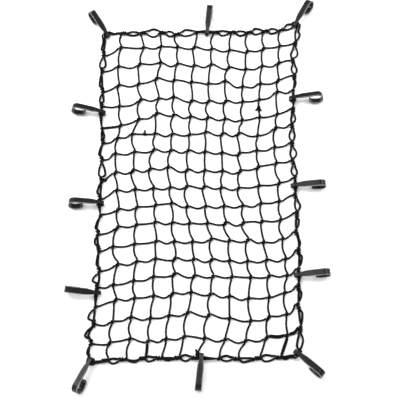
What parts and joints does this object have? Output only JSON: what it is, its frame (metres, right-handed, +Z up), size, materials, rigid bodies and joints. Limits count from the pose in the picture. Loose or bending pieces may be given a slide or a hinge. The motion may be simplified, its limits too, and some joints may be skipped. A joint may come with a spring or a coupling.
{
  "type": "cargo net with hooks",
  "caption": "Rectangular knotted elastic cargo net laid out flat, with a border cord laced round its edge and flat plastic strap hooks that hook over a rack rail.",
  "frame": {"origin": "middle of the laid-out net's box, on the ground it lies on", "axes": "+Z up from the ground, +Y along the net's long side, +X across it"},
  "size_m": [0.7362, 1.1634, 0.0385],
  "materials": {
    "elastic_cord": "matt black braided polyester sheath over elastic",
    "hook_plastic": "satin dark grey moulded plastic with fine lengthwise ribs"
  },
  "bodies": {
    "root": {"net": "elastic_cord", "border_cord": "elastic_cord", "hook_top_left": "hook_plastic", "hook_top_middle": "hook_plastic", "hook_top_right": "hook_plastic", "hook_right_upper": "hook_plastic", "hook_right_middle": "hook_plastic", "hook_right_lower": "hook_plastic", "hook_bottom_right": "hook_plastic", "hook_bottom_middle": "hook_plastic", "hook_bottom_left": "hook_plastic", "hook_left_lower": "hook_plastic", "hook_left_middle": "hook_plastic", "hook_left_upper": "hook_plastic"}
  },
  "joints": []
}
